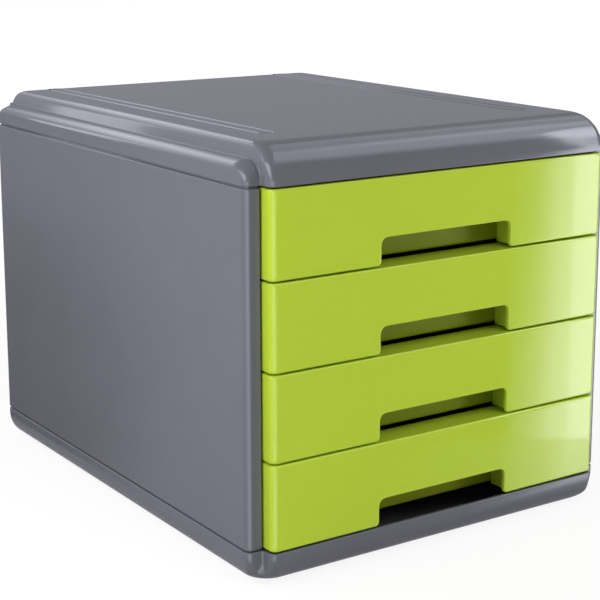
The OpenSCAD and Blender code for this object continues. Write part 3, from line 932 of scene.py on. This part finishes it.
lamp_behind_cloth("left_lamp", (-0.50, -0.24, 0.29), (0, -0.02, 0.15), 0.25, 1.25)
lamp_behind_cloth("rear_left_lamp", (-0.80, 0.45, 0.80), (0, -0.02, 0.15), 0.40, 6.4)
lamp_behind_cloth("right_lamp", (0.55, -0.62, 0.25), (0, -0.02, 0.15), 0.30, 1.7)
lamp_behind_cloth("front_lamp", (0.15, -1.60, 1.60), (0, 0, 0.15), 0.8, 13.5)
lamp_behind_cloth("top_lamp", (0.2, 0.4, 1.9), (0, 0, 0.2), 1.2, 1.5)


def only_in_gloss(piece, material):
    """Makes a stage piece that is seen in reflections alone."""
    piece.data.materials.append(material)
    for kind in ("camera", "diffuse", "transmission", "volume_scatter", "shadow"):
        setattr(piece, "visible_" + kind, False)
    piece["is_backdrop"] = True


def toward(azimuth, elevation):
    """A direction, from the angle to the right of straight ahead of the drawers and the angle up."""
    a = math.radians(azimuth)
    e = math.radians(elevation)
    return Vector((math.sin(a) * math.cos(e), -math.cos(a) * math.cos(e), math.sin(e)))


def glowing(name, strength, tint):
    """A cloth that shines by itself: its material, its tree and its shader."""
    cloth = bpy.data.materials.new(name)
    tree = plain_nodes(cloth)
    glow = add(tree, "ShaderNodeEmission", {"Color": tint, "Strength": strength})
    tree.links.new(glow.outputs[0], tree.nodes.new("ShaderNodeOutputMaterial").inputs["Surface"])
    return cloth, tree, glow


tent_radius = 5.0
tent_grey = 0.33
tent_tint = (0.96, 0.97, 1.09, 1)
tent = bmesh.new()
bmesh.ops.create_uvsphere(tent, u_segments=48, v_segments=24, radius=tent_radius)
tent_piece = solid("light_tent", tent)
tent_cloth, tree, glow = glowing("tent_cloth", tent_grey, tent_tint)
where = add(tree, "ShaderNodeTexCoord", {}).outputs["Object"]
way = add(tree, "ShaderNodeVectorMath", {0: where}, operation="NORMALIZE").outputs[0]
level = tent_grey
for azimuth, elevation, starts, full, more in ((-158, -15, 0.985, 0.998, -0.3),
                                               (-160, 22, 0.91, 0.98, 0.4),
                                               (68, 49, 0.93, 0.995, 2.0),
                                               (105, 50, 0.92, 0.99, 0.9)):
    near = add(tree, "ShaderNodeVectorMath", {0: way, 1: toward(azimuth, elevation)},
               operation="DOT_PRODUCT")
    patch = add(tree, "ShaderNodeMapRange",
                {"Value": near.outputs["Value"], "From Min": starts, "From Max": full,
                 "To Min": 0.0, "To Max": more}, interpolation_type="SMOOTHSTEP")
    level = add(tree, "ShaderNodeMath", {0: patch.outputs[0], 1: level}, operation="ADD").outputs[0]
tree.links.new(level, glow.inputs["Strength"])
only_in_gloss(tent_piece, tent_cloth)


def screen(name, seen_from, facing, distance, columns):
    """A flat glowing screen: columns of (azimuth, (elevation, level), ...) seen from a place."""
    sheet = bmesh.new()
    levels = sheet.verts.layers.float.new("level")
    rows = []
    for azimuth, *column in columns:
        row = []
        for elevation, level in column:
            ray = toward(azimuth, elevation)
            point = sheet.verts.new(Vector(seen_from) + ray * distance / ray.dot(toward(*facing)))
            point[levels] = level
            row.append(point)
        rows.append(row)
    for here, beside in zip(rows, rows[1:]):
        for i in range(len(here) - 1):
            sheet.faces.new((here[i], beside[i], beside[i + 1], here[i + 1]))
    cloth, tree, glow = glowing(name, 1.0, tent_tint)
    level = add(tree, "ShaderNodeAttribute", {}, attribute_name="level")
    tree.links.new(level.outputs["Fac"], glow.inputs["Strength"])
    only_in_gloss(solid(name, sheet), cloth)


right_end = (0.105, -0.1873, 0.262)
screen("right_screen", right_end, (52, 5), 0.8, (
    (39.0, (-30, 0.8), (0.2, 0.33)), (41.3, (-30, 2.6), (0.2, 0.9)), (42.8, (-30, 5.0), (0.2, 3.3)),
    (43.6, (-30, 5.2), (0.2, 4.0)), (43.92, (-30, 5.6), (0.2, 4.8)), (43.95, (-30, 7.0), (0.2, 7.0)),
    (46.7, (-30, 7.5), (0.2, 7.5)), (63, (-30, 6.5), (0.2, 6.5)), (80, (-30, 0.33), (0.2, 0.33))))
screen("nose_screen", right_end, (52, 5), 0.8, (
    (43.95, (0.2, 7.2), (0.6, 7.2), (1, 7.2)), (44.3, (0.2, 7.2), (8, 5.5), (12, 5.5)),
    (46.7, (0.2, 6.5), (13, 4.8), (21.7, 7.6)), (48.3, (10, 2.5), (18, 5.0), (25.1, 7.8)),
    (49, (17, 0.33), (21, 6.0), (26.5, 8.0)), (52.8, (20, 0.33), (26, 8.2), (33.5, 8.4)),
    (63, (31, 0.33), (37, 7.5), (43, 7.0)), (71, (36, 0.33), (41, 5.5), (44.5, 5.5)),
    (80, (38, 0.33), (40, 0.33), (42, 0.33))))
screen("right_low_screen", right_end, (52, 5), 0.8, (
    (30, (-50, 0.33), (-42, 0.33), (-30, 0.33)), (38, (-50, 0.33), (-42, 0.4), (-30, 0.6)),
    (42, (-50, 0.33), (-42, 0.6), (-30, 2.2)), (44.5, (-50, 0.33), (-42, 0.8), (-30, 4.5)),
    (76, (-50, 0.33), (-42, 0.8), (-30, 2.0))))
screen("rear_left_card", (-0.1325, 0.035, 0.2695), (-154, 10), 1.0, (
    (-156.5, (-6, 2.7), (18, 2.6)), (-149.95, (-6, 2.4), (18, 2.4))))
screen("rear_strip", (-0.13, 0.0, 0.27), (180, 25), 1.5, (
    (154, (18, 0.33), (22, 0.33), (30, 0.33)), (160, (18, 0.8), (26, 1.4), (35, 1.2)),
    (170, (20, 0.8), (27, 2.4), (36, 2.4)), (188, (20, 0.8), (27, 2.2), (36, 2.2)),
    (198, (18, 0.8), (25, 1.6), (34, 1.6)), (206, (14, 0.5), (20, 1.2), (30, 1.0))))
screen("left_front_low", (-0.145, -0.180, 0.15), (-45, 0), 1.2, (
    (-86, (-34, 0.33), (8, 0.33)), (-66, (-34, 1.2), (8, 1.2)), (-46, (-34, 2.6), (8, 2.6)),
    (-24, (-34, 2.8), (8, 2.8)), (-4, (-34, 0.33), (8, 0.33))))
screen("left_front_high", (-0.133, -0.180, 0.265), (-78, 25), 1.2, (
    (-130, (20, 0.33), (29, 2.4), (38, 2.4), (46, 0.33)),
    (-98, (14, 0.33), (23, 3.6), (36, 3.6), (46, 0.33)),
    (-78, (9, 0.33), (20, 4.6), (38, 4.6), (48, 0.33)),
    (-64, (8, 2.0), (14, 5.0), (40, 5.0), (50, 0.33)),
    (-50, (8, 2.6), (12, 5.0), (38, 5.0), (48, 0.33)),
    (-38, (8, 2.0), (11, 0.8), (36, 0.33), (48, 0.33))))

camera_data = bpy.data.cameras.new("camera")
camera = bpy.data.objects.new("camera", camera_data)
bpy.context.scene.collection.objects.link(camera)
frame_pixels = 600
camera_pixels = 1578.9
camera_back = toward(-33.759, 11.576)
camera_roll = math.radians(-0.099)
camera.location = (-0.6265, -0.95435, 0.4085)
camera.rotation_mode = "QUATERNION"
level_camera = (-camera_back).to_track_quat("-Z", "Y")
camera.rotation_quaternion = level_camera @ Matrix.Rotation(camera_roll, 4, "Z").to_quaternion()
camera_data.sensor_width = 36.0
camera_data.lens = camera_pixels / frame_pixels * camera_data.sensor_width
camera_data.shift_y = -0.100
camera_data.clip_end = 50.0
bpy.context.scene.camera = camera
bpy.context.scene.view_settings.view_transform = "Standard"

low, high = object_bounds()
